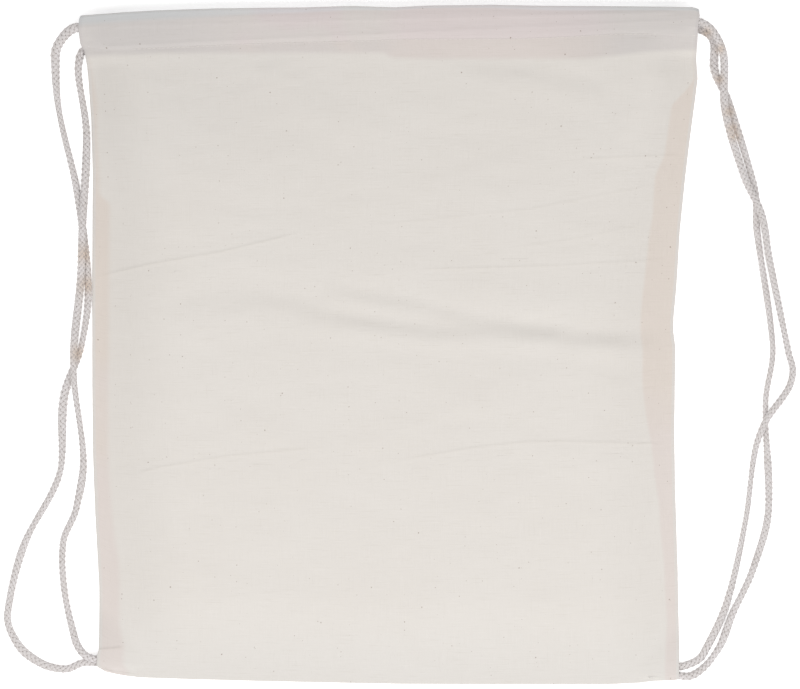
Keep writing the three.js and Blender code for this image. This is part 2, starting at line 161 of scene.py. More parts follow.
class BagStageSettings(bpy.types.PropertyGroup):
    """Floor, light and camera"""

    photo_width: bpy.props.FloatProperty(
        name="Width in View", description="Width of the floor that the camera sees at the bag's height",
        default=0.496, unit="LENGTH")
    camera_height: bpy.props.FloatProperty(
        name="Camera Height", description="Height of the camera over the floor", default=4.5, unit="LENGTH")
    floor_size: bpy.props.FloatProperty(
        name="Floor Size", description="Length of the floor's sides", default=6.0, unit="LENGTH")
    floor_colour: bpy.props.FloatVectorProperty(
        name="Floor Colour", description="Colour of the floor", subtype="COLOR", default=(0.94, 0.94, 0.94))
    floor_glow: bpy.props.FloatProperty(
        name="Floor Glow", description="Light that the floor gives off, as a light table does", default=0.45)
    sky_strength: bpy.props.FloatProperty(
        name="Surrounding Light", description="Strength of the even light from all round", default=0.535)
    key_power: bpy.props.FloatProperty(
        name="Soft Light", description="Power of the long soft light", default=14.8, unit="POWER")
    key_length: bpy.props.FloatProperty(
        name="Soft Light Length", description="Length of the soft light, across the bag",
        default=2.2, unit="LENGTH")
    key_width: bpy.props.FloatProperty(
        name="Soft Light Width", description="Width of the soft light", default=0.7, unit="LENGTH")


class BagCordSettings(bpy.types.PropertyGroup):
    """The two braided cords"""

    diameter: bpy.props.FloatProperty(
        name="Diameter", description="Diameter of a cord", default=0.004, unit="LENGTH")
    braid_pitch: bpy.props.FloatProperty(
        name="Braid Pitch", description="Length in which a yarn goes once round the cord",
        default=0.014, unit="LENGTH")
    colour: bpy.props.FloatVectorProperty(
        name="Colour", description="Colour of the cords' cotton", subtype="COLOR",
        default=(0.672, 0.643, 0.638))


class BagClothSettings(bpy.types.PropertyGroup):
    """The cloth of the pouch"""

    thickness: bpy.props.FloatProperty(
        name="Cloth Thickness", description="Thickness of the calico", default=0.0004, unit="LENGTH")
    loft: bpy.props.FloatProperty(
        name="Loft", description="Height of the front over the floor, at the middle of the bag",
        default=0.0159, unit="LENGTH")
    left_allowance: bpy.props.FloatProperty(
        name="Left Allowance", description="Cloth turned in along the left seam",
        default=0.012, unit="LENGTH")
    right_allowance: bpy.props.FloatProperty(
        name="Right Allowance", description="Cloth turned in along the right seam",
        default=0.018, unit="LENGTH")
    colour: bpy.props.FloatVectorProperty(
        name="Colour", description="Colour of the calico", subtype="COLOR", default=(0.690, 0.655, 0.615))


class BagStitchSettings(bpy.types.PropertyGroup):
    """The casings' stitching"""

    pitch: bpy.props.FloatProperty(
        name="Pitch", description="From one stitch to the next", default=0.003, unit="LENGTH")
    length: bpy.props.FloatProperty(
        name="Stitch Length", description="Length of thread that shows of a stitch",
        default=0.0025, unit="LENGTH")
    thread: bpy.props.FloatProperty(
        name="Thread", description="Thickness of the sewing thread", default=0.00036, unit="LENGTH")
    colour: bpy.props.FloatVectorProperty(
        name="Colour", description="Colour of the sewing thread", subtype="COLOR",
        default=(0.74, 0.705, 0.67))


# Shaping helpers, all on numpy arrays


def mix(a, b, share):
    """From a, where the share is 0, to b, where it is 1."""
    return a + (b - a) * share


def smooth(t):
    """Rise from 0 to 1 that is level at both ends."""
    t = np.clip(t, 0.0, 1.0)
    return t * t * (3.0 - 2.0 * t)


def swell(t):
    """Rise from 0 to 1 that is gentler than smooth in the middle and steeper at its start."""
    return 0.5 * smooth(t) + 0.5 * np.sin(np.clip(t, 0.0, 1.0) * math.pi / 2) ** 1.3


def look_up(table):
    """Function that reads a table of pairs at any value between its rows."""
    rows = sorted(table)
    return lambda at: np.interp(at, [row[0] for row in rows], [row[1] for row in rows])


left_edge = look_up(LEFT_EDGE)
right_edge = look_up(RIGHT_EDGE)
top_edge = look_up(TOP_EDGE)
bottom_edge = look_up(BOTTOM_EDGE)


def largest(*parts):
    """Maximum of several arrays, rounded where they cross. Below 0 counts as 0."""
    power = 6.0
    return sum(np.maximum(part, 0.0) ** power for part in parts) ** (1.0 / power)


def near_line(x, y, line):
    """Signed distance from a line of points, above it positive, and the share of its length reached."""
    points = np.array(line)
    chords = np.diff(points, axis=0)
    lengths = np.linalg.norm(chords, axis=1)
    starts = np.concatenate([[0.0], np.cumsum(lengths)])
    best = np.full(np.shape(x), np.inf)
    side = np.ones(np.shape(x))
    reached = np.zeros(np.shape(x))
    for (ax, ay), (dx, dy), length, start in zip(points, chords, lengths, starts):
        share = np.clip(((x - ax) * dx + (y - ay) * dy) / length ** 2, 0.0, 1.0)
        away = np.hypot(x - ax - share * dx, y - ay - share * dy)
        nearer = away < best
        best = np.where(nearer, away, best)
        side = np.where(nearer, np.sign(dx * (y - ay) - dy * (x - ax)), side)
        reached = np.where(nearer, (start + share * length) / starts[-1], reached)
    return best * side, reached


def waves(x, y, shortest, longest, lean, count, seed):
    """Sum of many small waves with a root mean square of 1; lean is how far their crests turn from X."""
    draw = np.random.RandomState(seed)
    total = np.zeros(np.broadcast(x, y).shape)
    for _ in range(count):
        length = math.exp(draw.uniform(math.log(shortest), math.log(longest)))
        turn = math.pi / 2 + draw.uniform(-lean, lean)
        phase = draw.uniform(0.0, 2 * math.pi)
        along = x * math.cos(turn) + y * math.sin(turn)
        total = total + np.sin(2 * math.pi * along / length + phase)
    return total * math.sqrt(2.0 / count)


# Making and finishing objects


def add_object(name, data):
    """Object in the scene, made from a mesh, a camera or a light."""
    made = bpy.data.objects.new(name, data)
    bpy.context.scene.collection.objects.link(made)
    return made


def add_mesh(name, corners, faces, smooth_faces=True):
    """Object made from arrays of corners and of faces."""
    mesh = bpy.data.meshes.new(name)
    mesh.from_pydata(corners.tolist(), [], faces.tolist())
    mesh.validate()
    if smooth_faces:
        mesh.shade_smooth()
    return add_object(name, mesh)


def add_uv(mesh, name, places):
    """UV map from one place for each corner of each face, in the faces' order."""
    layer = mesh.uv_layers.new(name=name)
    layer.uv.foreach_set("vector", places.astype(np.float32).ravel())


def add_attribute(mesh, name, values):
    """One number for each corner of the mesh, for a material to read."""
    layer = mesh.attributes.new(name, "FLOAT", "POINT")
    layer.data.foreach_set("value", values.astype(np.float32).ravel())


# Nodes


class Nodes:
    """Short words for building a tree of nodes."""

    def __init__(self, tree):
        self.tree = tree

    def node(self, kind, inputs=None, **options):
        """New node with its own options set, and with its inputs set or linked."""
        made = self.tree.nodes.new(kind)
        for key, value in options.items():
            setattr(made, key, value)
        for key, value in (inputs or {}).items():
            self.plug(made.inputs[key], value)
        return made

    def plug(self, socket, value):
        """Link a socket to another one or to a node's first output, or set it to a plain value."""
        if isinstance(value, bpy.types.NodeSocket):
            self.tree.links.new(value, socket)
        elif isinstance(value, bpy.types.Node):
            self.tree.links.new(value.outputs[0], socket)
        else:
            socket.default_value = value


class Shading(Nodes):
    """Short words for building one material's nodes."""

    def __init__(self, name):
        self.material = bpy.data.materials.new(name)
        self.material.use_nodes = True
        super().__init__(self.material.node_tree)
        self.shader = self.tree.nodes["Principled BSDF"]

    def math(self, operation, a, b=0.0):
        return self.node("ShaderNodeMath", {0: a, 1: b}, operation=operation)

    def times(self, a, b):
        return self.math("MULTIPLY", a, b)

    def ramp(self, value, low, high, to_low=0.0, to_high=1.0):
        """Value taken from one range to another, held at both ends and eased between."""
        sockets = {"Value": value, "From Min": low, "From Max": high, "To Min": to_low, "To Max": to_high}
        return self.node("ShaderNodeMapRange", sockets, interpolation_type="SMOOTHSTEP")

    def tint(self, share, under, over, blend="MIX"):
        """One colour over another, as far as the share says."""
        made = self.node("ShaderNodeMix", data_type="RGBA", blend_type=blend)
        self.plug(made.inputs["Factor"], share)
        self.plug(made.inputs[6], under)
        self.plug(made.inputs[7], over)
        return made.outputs[2]

    def shade(self, share, base, factors):
        """Colour with each of its parts multiplied by a factor, as far as the share says."""
        return self.tint(share, base, factors + (1.0,), "MULTIPLY")

    def noise(self, place, scale, detail, **more):
        sockets = {"Vector": place, "Scale": scale, "Detail": detail}
        return self.node("ShaderNodeTexNoise", {**sockets, **more})

    def attribute(self, name):
        return self.node("ShaderNodeAttribute", attribute_name=name).outputs["Fac"]

    def stretched(self, place, scale):
        return self.node("ShaderNodeMapping", {"Vector": place, "Scale": scale})

    def finish(self, colour, roughness, bumps):
        """Material with its colour and roughness set, and with bumps from (height, depth) pairs."""
        self.plug(self.shader.inputs["Base Color"], colour)
        self.shader.inputs["Roughness"].default_value = roughness
        self.shader.inputs["Specular IOR Level"].default_value = 0.25
        self.shader.inputs["Sheen Weight"].default_value = 0.12
        self.shader.inputs["Sheen Roughness"].default_value = 0.6
        normal = None
        for height, depth in bumps:
            bump = self.node("ShaderNodeBump", {"Height": height, "Strength": 1.0, "Distance": depth})
            if normal is not None:
                self.plug(bump.inputs["Normal"], normal)
            normal = bump.outputs["Normal"]
        self.plug(self.shader.inputs["Normal"], normal)
        return self.material


def paint(colour, factors):
    """Colour with each of its parts multiplied by a factor, as a node takes it."""
    return tuple(part * factor for part, factor in zip(colour, factors)) + (1.0,)


# Thick and thin places of the calico's threads, along X and along Y
SLUBS = [
    {"stretch": (55.0, 1500.0, 1.0), "thick": 0.75, "dark": (0.90, 0.89, 0.87),
     "thin": 0.60, "light": (1.06, 1.06, 1.07)},
    {"stretch": (1500.0, 60.0, 1.0), "thick": 0.50, "dark": (0.92, 0.91, 0.90),
     "thin": 0.50, "light": (1.05, 1.05, 1.06)},
]
# Seed flecks lie in some cells of two cell patterns. The radius is a share of the cell.
FLECKS = [
    {"cell": 0.0110, "bare_cells": 0.85, "radius": 0.030, "darkest": 0.72},
    {"cell": 0.0052, "bare_cells": 0.90, "radius": 0.052, "darkest": 0.50},
]
SEED_BROWN = (0.22, 0.155, 0.105, 1.0)
CREASE_WIDTH = 0.0011
WEAVE_THREAD = 0.00042
YARN_LEAN = math.radians(42)
PINHOLE_SHADE = (0.095, 0.077, 0.064, 1.0)


def with_slubs(look, flat, colour, base):
    """Base with the threads' thick and thin places, and the two patterns that they follow."""
    patterns = []
    for slub in SLUBS:
        pattern = look.noise(look.stretched(flat, slub["stretch"]), 1.0, 3.0, Roughness=0.6)
        thick = look.ramp(pattern, 0.55, 0.78, 0.0, slub["thick"])
        base = look.tint(thick, base, paint(colour, slub["dark"]))
        thin = look.ramp(pattern, 0.45, 0.25, 0.0, slub["thin"])
        base = look.tint(thin, base, paint(colour, slub["light"]))
        patterns.append(pattern)
    return base, patterns


def with_flecks(look, flat, base):
    """Base with its seed flecks."""
    for kind in FLECKS:
        sockets = {"Vector": flat, "Scale": 1.0 / kind["cell"]}
        cells = look.node("ShaderNodeTexVoronoi", sockets, voronoi_dimensions="2D")
        chance = look.node("ShaderNodeSeparateColor", {"Color": cells.outputs["Color"]})
        picked = look.math("GREATER_THAN", chance.outputs["Red"], kind["bare_cells"])
        extent = look.times(look.math("ADD", chance.outputs["Green"], 0.4), kind["radius"])
        fleck = look.times(picked, look.math("LESS_THAN", cells.outputs["Distance"], extent))
        dark = look.ramp(chance.outputs["Blue"], 0.0, 1.0, 0.35 * kind["darkest"], kind["darkest"])
        base = look.tint(look.times(fleck, dark), base, SEED_BROWN)
    return base


def with_seam_tints(look, place, patches, hem, base):
    """The allowances show through along the sides, warmer towards the top. The rim is greyer."""
    warm = look.ramp(look.math("ADD", place.outputs["Y"], look.times(patches, 0.16)), 0.0, 0.075)
    rim = look.ramp(look.attribute("side_cover"), 0.0024, 0.0014)
    seam = look.ramp(look.attribute("seam_cover"), -1.0, 1.0)
    seam = look.times(seam, look.math("SUBTRACT", 1.0, look.math("MAXIMUM", rim, hem)))
    seam_tint = look.tint(warm, (0.974, 0.932, 0.935, 1.0), (0.974, 0.928, 0.902, 1.0))
    base = look.tint(seam, base, seam_tint, "MULTIPLY")
    return look.shade(rim, base, (0.965, 0.965, 0.975))


def with_casing_tints(look, place, patches, hem, base):
    """The casing is pinker along its middle and in patches on the left, and warmer below the stitches. Its
    ends are greyer.
    The band along its fold is painted greyer and bluer, as shade, and the fold's very edge is painted paler,
    as light."""
    before_right_end = look.ramp(place.outputs["X"], 0.150, 0.118)
    middle = look.times(look.ramp(place.outputs["X"], -0.012, 0.014), before_right_end)
    spots = look.times(look.ramp(patches, 0.48, 0.60), look.ramp(place.outputs["X"], -0.155, -0.110))
    pink = look.math("MAXIMUM", middle, look.times(spots, before_right_end))
    below = look.ramp(look.attribute("stitch_cover"), 0.0002, -0.0010)
    above_tint = look.tint(pink, (0.929, 0.910, 0.928, 1.0), (0.936, 0.887, 0.924, 1.0))
    below_tint = look.tint(pink, (0.912, 0.892, 0.908, 1.0), (0.945, 0.905, 0.911, 1.0))
    base = look.tint(hem, base, look.tint(below, above_tint, below_tint), "MULTIPLY")
    end = look.times(hem, look.ramp(look.attribute("side_cover"), 0.110, 0.040))
    base = look.shade(end, base, (0.946, 0.960, 0.966))
    # Painted bluish-grey shade along the casing's fold
    base = look.shade(look.ramp(look.attribute("fold_shade_cover"), 1.35, 0.65), base, (0.985, 1.045, 1.080))
    # Painted light on the fold's very edge
    return look.shade(look.ramp(look.attribute("fold_light_cover"), 0.0016, 0.0004), base, (1.14, 1.12, 1.10))


def with_painted_shade(look, place, base):
    """The front is painted a little darker and greyer, as shade, towards its upper left and along its bottom
    fold.
    """
    upper = look.times(look.ramp(place.outputs["Y"], 0.085, 0.150),
                       look.ramp(place.outputs["X"], 0.010, -0.130))
    base = look.shade(upper, base, (0.970, 0.972, 0.975))
    low = look.ramp(look.attribute("bottom_cover"), 0.055, 0.006)
    return look.shade(low, base, (0.975, 0.983, 0.990))


def with_crease_shade(look, base):
    """Base with painted shade along the thin creases, and the creases' height."""
    share = look.math("DIVIDE", look.attribute("crease_off"), CREASE_WIDTH)
    crease = look.math("EXPONENT", look.times(look.times(share, share), -1.0))
    crease = look.times(crease, look.attribute("crease_strength"))
    return look.shade(look.times(crease, 0.5), base, (0.975, 0.970, 0.960)), crease


def plain_weave(look, flat):
    """Height of one thread over and one under, both ways."""
    parts = look.node("ShaderNodeSeparateXYZ", {"Vector": flat})
    turns = [look.math("SINE", look.times(parts.outputs[k], math.pi / WEAVE_THREAD)) for k in (0, 1)]
    return look.times(turns[0], turns[1])


def calico_material(colour):
    """Unbleached plain weave: threads, slubs, seed flecks, the tint where two layers lie together, and
    painted shade and light.
    """
    look = Shading("calico")
    flat = look.node("ShaderNodeUVMap", uv_map="flat").outputs["UV"]
    place = look.node("ShaderNodeSeparateXYZ", {"Vector": look.node("ShaderNodeTexCoord").outputs["Object"]})
    patches = look.noise(flat, 21.0, 1.0)
    hem = look.ramp(look.attribute("hem_cover"), -0.0022, 0.0022)

    cloudy = look.ramp(look.noise(flat, 14.0, 3.0), 0.35, 0.65)
    base = look.tint(cloudy, paint(colour, (0.996, 0.994, 0.992)), paint(colour, (1.004, 1.005, 1.006)))
    base, (across, along) = with_slubs(look, flat, colour, base)
    base = with_flecks(look, flat, base)
    base = with_seam_tints(look, place, patches, hem, base)
    base = with_casing_tints(look, place, patches, hem, base)
    base = with_painted_shade(look, place, base)
    base, crease = with_crease_shade(look, base)
    weave = plain_weave(look, flat)
    return look.finish(base, 0.92, [(crease, 0.00026), (across, 0.00010), (along, 0.00008), (weave, 0.00004)])


def cord_material(colour):
    """Braided cotton: fine fibres along each yarn, and painted shade between the yarns and in the pinholes
    where four yarns meet.
    """
    look = Shading("cord_cotton")
    run = look.node("ShaderNodeUVMap", uv_map="run").outputs["UV"]
    cloudy = look.ramp(look.noise(run, 60.0, 2.0), 0.3, 0.7)
    base = look.tint(cloudy, paint(colour, (0.95, 0.94, 0.93)), paint(colour, (1.04, 1.04, 1.05)))
    # Painted shade, browner, where strands touch one another
    uneven = look.ramp(look.noise(run, 150.0, 2.0), 0.20, 0.50, 0.35, 1.0)
    contact_shaded = look.times(look.attribute("contact_shade"), uneven)
    base = look.shade(contact_shaded, base, (0.900, 0.780, 0.660))

    # Fibres lie along the yarn, which leans one way or the other round the cord
    streaks = []
    for turn in (YARN_LEAN, -YARN_LEAN):
        turned = look.node("ShaderNodeMapping", {"Vector": run, "Rotation": (0.0, 0.0, turn)})
        streaks.append(look.noise(look.stretched(turned, (5200.0, 420.0, 1.0)), 1.0, 1.0))
    mixed = look.node("ShaderNodeMix", {"Factor": look.attribute("yarn_way"), 2: streaks[0], 3: streaks[1]})
    fibres = mixed.outputs[0]
    base = look.tint(look.ramp(fibres, 0.35, 0.7, 0.0, 0.5), base, paint(colour, (0.86, 0.84, 0.82)))

    # Painted shade between the yarns, browner in the pinholes where four yarns meet
    hollow_shade = look.attribute("hollow_shade")
    base = look.tint(look.ramp(hollow_shade, 0.0, 0.45, 0.0, 0.93), base, paint(colour, (0.61, 0.575, 0.555)))
    base = look.tint(look.ramp(hollow_shade, 0.44, 0.76, 0.0, 0.96), base, PINHOLE_SHADE)
    return look.finish(base, 0.88, [(fibres, 0.0001)])


def thread_material(colour):
    """Sewing thread, twisted from two strands."""
    look = Shading("thread")
    place = look.node("ShaderNodeTexCoord").outputs["Object"]
    waves_along = look.node("ShaderNodeTexWave", {"Vector": place, "Scale": 900.0, "Distortion": 2.0})
    twist = waves_along.outputs["Fac"]
    base = look.tint(twist, paint(colour, (0.93, 0.92, 0.91)), paint(colour, (1.03, 1.03, 1.03)))
    return look.finish(base, 0.7, [(twist, 0.00005)])


def floor_material(colour, glow):
    """Pale floor that gives off a little light."""
    look = Shading("floor")
    look.shader.inputs["Emission Color"].default_value = (1.0, 1.0, 1.0, 1.0)
    look.shader.inputs["Emission Strength"].default_value = glow
    grain = look.noise(look.node("ShaderNodeTexCoord").outputs["Object"], 4.0, 2.0)
    base = look.tint(grain, paint(colour, (0.995, 0.995, 0.995)), paint(colour, (1.005, 1.005, 1.005)))
    return look.finish(base, 0.8, [(grain, 0.00001)])


# Cords


class Route:
    """Smooth line through a cord's points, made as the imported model's is. At each point its way lies
    between those of the two chords that meet there, nearer the longer one's."""

    TANGENT_LENGTH = 1.04

    def __init__(self, points):
        self.points = np.array(points)
        chords = np.diff(self.points, axis=0)
        lengths = np.linalg.norm(chords, axis=1)
        self.reach = lengths * self.TANGENT_LENGTH
        pulls = chords * lengths[:, None]
        both = np.vstack([pulls[:1], pulls]) + np.vstack([pulls, pulls[-1:]])
        self.ways = both / np.linalg.norm(both, axis=1)[:, None]

    def line(self, steps=60):
        """Closely spaced points of the whole line."""
        t = (np.arange(steps) / steps)[:, None]
        made = []
        for i, reach in enumerate(self.reach):
            made.append(
                self.points[i] * (2 * t ** 3 - 3 * t ** 2 + 1)
                + self.points[i + 1] * (3 * t ** 2 - 2 * t ** 3)
                + self.ways[i] * (t ** 3 - 2 * t ** 2 + t) * reach
                + self.ways[i + 1] * (t ** 3 - t ** 2) * reach)
        return np.vstack(made + [self.points[-1:]])


def run_length(line):
    """Length run at each point of a line."""
    return np.concatenate([[0.0], np.cumsum(np.linalg.norm(np.diff(line, axis=0), axis=1))])


CORD_SIDES = 28
RINGS_PER_PITCH = 32
HIDDEN_EVERY = 4                 # inside the casings only every fourth ring is made
CASING_LOW = 0.183
CASING_REACH = 0.176

# The braid: yarns that run each way, the rest as shares of the cord's radius or of the yarns' spacing
YARNS_EACH_WAY = 4
CORE = 0.66
BRAID_FLOOR = 0.70
YARN_HEIGHT = 0.38
OVER_UNDER = 0.15
HALF_YARN = 0.45
YARN_EDGE_WIDTH = 0.20
# how dark the painted shade is along the edges of the yarns on top
YARN_EDGE_SHADE = 0.52


def ring_centres(route, pitch):
    """Middles of a cord's rings, close together where it shows, with the length run at each."""
    line = Route(route).line()
    run = run_length(line)
    count = round(run[-1] / (pitch / RINGS_PER_PITCH))
    places = run[-1] * np.arange(count + 1) / count
    centres = np.stack([np.interp(places, run, line[:, k]) for k in range(3)], axis=1)
    hidden = (centres[:, 1] > CASING_LOW) & (np.abs(centres[:, 0]) < CASING_REACH)
    keep = ~hidden | (np.arange(count + 1) % HIDDEN_EVERY == 0)
    return centres[keep], places[keep]


def fixed_chance(a, b):
    """Number from 0 to 1 that looks random but is the same each time for the same two numbers."""
    chance = np.sin(a * 12.99 + b * 78.23) * 43758.5
    return chance - np.floor(chance)


def braid(turn, run, radius, pitch):
    """Distance of a braid's surface from its middle, which way the yarn on top leans, and how much painted
    shade it gets between yarns and in the pinholes. The yarns that run each way go over one and under the
    next."""
    twist = 0.55 * np.sin(run / 0.041) + 0.40 * np.sin(run / 0.0173 + 1.0)
    one = YARNS_EACH_WAY * ((turn + twist) / (2 * math.pi) - run / pitch)
    other = YARNS_EACH_WAY * ((turn + twist) / (2 * math.pi) + run / pitch)

    def yarn(own, crossing, sign):
        number = np.round(own)
        crown = np.sqrt(np.maximum(0.0, 1.0 - ((own - number) / HALF_YARN) ** 2))
        parity = np.where(number % 2 == 0, 1.0, -1.0)
        over = sign * OVER_UNDER * radius * np.cos(math.pi * crossing) * parity
        return CORE * radius + YARN_HEIGHT * radius * crown + over

    floor = BRAID_FLOOR * radius
    first, second = yarn(one, other, 1.0), yarn(other, one, -1.0)
    top = np.maximum(first, second)
    chance = fixed_chance(np.floor(one), np.floor(other))
    pinhole = smooth((radius - top) / (radius - floor)) * (0.55 + 0.45 * chance)
    edge = YARN_EDGE_SHADE * smooth(1.0 - np.abs(first - second) / (YARN_EDGE_WIDTH * radius))
    return np.maximum(top, floor), (first > second).astype(float), np.maximum(pinhole, edge)


def ring_axes(centres, run):
    """Way up and way sideways of each of a cord's rings."""
    ways = np.gradient(centres, run, axis=0)
    ways /= np.linalg.norm(ways, axis=1)[:, None]
    up = np.array([0.0, 0.0, 1.0]) - ways * ways[:, 2:3]
    up /= np.linalg.norm(up, axis=1)[:, None]
    return up[:, None], np.cross(ways, up)[:, None]


def tube_faces(rings, sides):
    """Quads of a tube of rings, and the side and the ring where each begins."""
    ring, side = np.meshgrid(np.arange(rings - 1), np.arange(sides), indexing="ij")
    following = (side + 1) % sides
    quads = np.stack([(ring + 1) * sides + side, (ring + 1) * sides + following,
                      ring * sides + following, ring * sides + side], axis=-1)
    return quads.reshape(-1, 4), side.reshape(-1), ring.reshape(-1)


def end_faces(rings, sides):
    """Triangles that close a tube at both ends, each round one more corner."""
    first, last, foot = rings * sides, rings * sides + 1, (rings - 1) * sides
    start = [[first, (k + 1) % sides, k] for k in range(sides)]
    return start + [[last, foot + k, foot + (k + 1) % sides] for k in range(sides)]


def contact_shades(corners):
    """How much painted shade a cord gets at each corner where strands touch, from 0 to 1."""
    contact_shade = np.zeros(len(corners))
    for x, y, extent in SHADED_CONTACTS:
        away = np.hypot(corners[:, 0] - x, corners[:, 1] - y)
        contact_shade = np.maximum(contact_shade, np.exp(-(away / extent) ** 2))
    return contact_shade


def make_cord(row, settings, material):
    """Braided skin along a cord's route, and the middles of its rings."""
    centres, run = ring_centres(row["route"], settings.braid_pitch)
    up, beside = ring_axes(centres, run)
    turn = 2 * math.pi * np.arange(CORD_SIDES) / CORD_SIDES
    reach, way, yarn_shade = braid(turn[None, :], run[:, None], settings.diameter / 2, settings.braid_pitch)
    width = look_up(row["widths"])(run)[:, None, None]
    height = np.minimum(width, 1.0)
    cosine, sine = np.cos(turn)[None, :, None], np.sin(turn)[None, :, None]
    corners = centres[:, None] + reach[..., None] * (height * cosine * up + width * sine * beside)
    corners = np.vstack([corners.reshape(-1, 3), centres[0], centres[-1]])
    corners[:, 2] = np.maximum(corners[:, 2], 0.0)

    quads, side, ring = tube_faces(len(centres), CORD_SIDES)
    ends = end_faces(len(centres), CORD_SIDES)
    mesh = bpy.data.meshes.new(row["name"])
    mesh.from_pydata(corners.tolist(), [], quads.tolist() + ends)
    mesh.shade_smooth()
    girth = math.pi * settings.diameter / CORD_SIDES
    sides = np.stack([side, side + 1, side + 1, side], axis=-1) * girth
    runs = np.stack([run[ring + 1], run[ring + 1], run[ring], run[ring]], axis=-1)
    places = np.stack([sides, runs], axis=-1).reshape(-1, 2)
    add_uv(mesh, "run", np.vstack([places, np.zeros((len(ends) * 3, 2))]))
    add_attribute(mesh, "yarn_way", np.concatenate([way.ravel(), [0.0, 0.0]]))
    add_attribute(mesh, "hollow_shade", np.concatenate([yarn_shade.ravel(), [0.0, 0.0]]))
    add_attribute(mesh, "contact_shade", contact_shades(corners))
    mesh.materials.append(material)
    return add_object("braided_" + row["name"], mesh), centres


# Cloth


LAYER = 0.00049                  # from one layer of cloth to the next where they lie together
BACK_LEVEL = 0.0003
SEAM_LEVEL = 0.0166              # the front's cloth at its stitching
CASING_LEVEL = 0.01745           # the front casing's outer layer
PANEL_COLUMNS = 148
ALLOWANCE_COLUMNS = 5
RISE_SIDE = 0.055                # run in which the front rises from its sides to its full height
RISE_SIDE_TOP = 0.034            # and the same just below the casing
RISE_BOTTOM = 0.055
INNER_LAYER_REACH = 0.164        # the casings' inner layers stop here, to give the cords' turns room
HALF_CLOTH = 0.0002
FOLD_DEPTH = 0.0018              # how far below a casing's top its fold begins
BACK_SHORTER = 0.0012            # how far the back's fold lies below the front's
HEM_GAP = 0.0004                 # the turned-in hem begins this far below the stitches

# The front's stitching, and the lower edge of the hem behind it
FRONT_STITCHES = [
    (-0.1920, 0.1817), (-0.1500, 0.1830), (-0.1200, 0.1843), (-0.0980, 0.1853), (-0.0800, 0.1861),
    (-0.0460, 0.1869), (-0.0089, 0.1879), (0.0097, 0.1888), (0.0469, 0.1889), (0.0841, 0.1892),
    (0.1027, 0.1899), (0.1213, 0.1909), (0.1399, 0.1919), (0.1585, 0.1922), (0.1771, 0.1916),
    (0.1920, 0.1910),
]
BACK_STITCHES = [(-0.1920, 0.1815), (0.1920, 0.1861)]
FRONT_HEM = [
    (-0.1920, 0.1780), (-0.1400, 0.1800), (-0.0040, 0.1802), (0.0020, 0.1772), (0.0260, 0.1763),
    (0.1210, 0.1766), (0.1400, 0.1785), (0.1585, 0.1808), (0.1770, 0.1822), (0.1920, 0.1826),
]
BACK_HEM = [(-0.1920, 0.1770), (0.1920, 0.1815)]

# Height of the front's and the back's edge along each side: together below, apart at the casings
FRONT_SIDE_LEFT = [
    (0.135, 0.0017), (0.160, 0.0024), (0.172, 0.0034), (0.178, 0.0066), (0.184, 0.0110), (0.190, 0.0156),
    (0.196, 0.0178), (0.204, 0.0172),
]
FRONT_SIDE_RIGHT = [
    (0.135, 0.0017), (0.165, 0.0026), (0.178, 0.0040), (0.184, 0.0082), (0.190, 0.0140), (0.196, 0.0174),
    (0.201, 0.0179), (0.209, 0.0172),
]
BACK_SIDE = [(0.135, 0.00025), (0.160, 0.00095), (0.172, 0.00195), (0.176, 0.0012), (0.181, 0.0003)]

# Width of the band of painted bluish-grey shade along the casing's fold
FOLD_SHADE_BAND = [
    (-0.1920, 0.0060), (-0.1180, 0.0054), (-0.0750, 0.0038), (-0.0400, 0.0030), (0.0200, 0.0016),
    (0.0500, 0.0018), (0.1050, 0.0030), (0.1400, 0.0026), (0.1920, 0.0022),
]

# Width of the seam allowances, which show through the front
LEFT_STRIP = [
    (-0.2030, 0.0170), (-0.1920, 0.0160), (-0.1730, 0.0124), (-0.1360, 0.0132), (-0.1180, 0.0112),
    (-0.0810, 0.0095), (-0.0060, 0.0104), (0.0870, 0.0108), (0.0925, 0.0042), (0.1300, 0.0030),
    (0.1500, 0.0045), (0.1700, 0.0020),
]
RIGHT_STRIP = [
    (-0.1920, 0.0087), (-0.1737, 0.0074), (-0.1550, 0.0081), (-0.1365, 0.0084), (-0.1180, 0.0099),
    (-0.0993, 0.0105), (-0.0807, 0.0128), (-0.0620, 0.0145), (-0.0435, 0.0180), (-0.0249, 0.0204),
    (0.0309, 0.0208), (0.0680, 0.0190), (0.0786, 0.0180), (0.1040, 0.0192), (0.1170, 0.0146),
    (0.1480, 0.0143), (0.1586, 0.0056), (0.1650, 0.0020),
]
LEFT_STRIP_SOFTNESS = 0.0026
RIGHT_STRIP_SOFTNESS = 0.0014

# Folds of the front. A ridge has its height on its line; a step falls from below its line to above it.
RIDGE_FOLDS = [
    {"name": "soft fold under the hem", "height": 0.0008, "width": 0.0120,
     "line": [(-0.0833, 0.1722), (-0.0420, 0.1400), (-0.0200, 0.1245)]},
]
STEP_FOLDS = [
    {"name": "main fold", "height": 0.0021, "width": 0.0056,
     "line": [(-0.0620, 0.0200), (-0.0060, 0.0117), (0.0252, 0.0075), (0.0748, 0.0055), (0.1182, 0.0024),
              (0.1830, 0.0008)]},
    {"name": "upper branch of the main fold", "height": 0.0017, "width": 0.0052,
     "line": [(-0.0520, 0.0345), (0.0066, 0.0241), (0.0500, 0.0148), (0.0850, 0.0095), (0.1150, 0.0080)]},
    {"name": "left of the main fold", "height": 0.0011, "width": 0.0080,
     "line": [(-0.1420, 0.0225), (-0.0864, 0.0270), (-0.0350, 0.0190)]},
    {"name": "upper right fold", "height": 0.0007, "width": 0.0066,
     "line": [(0.0432, 0.1753), (0.1380, 0.1549)]},
]
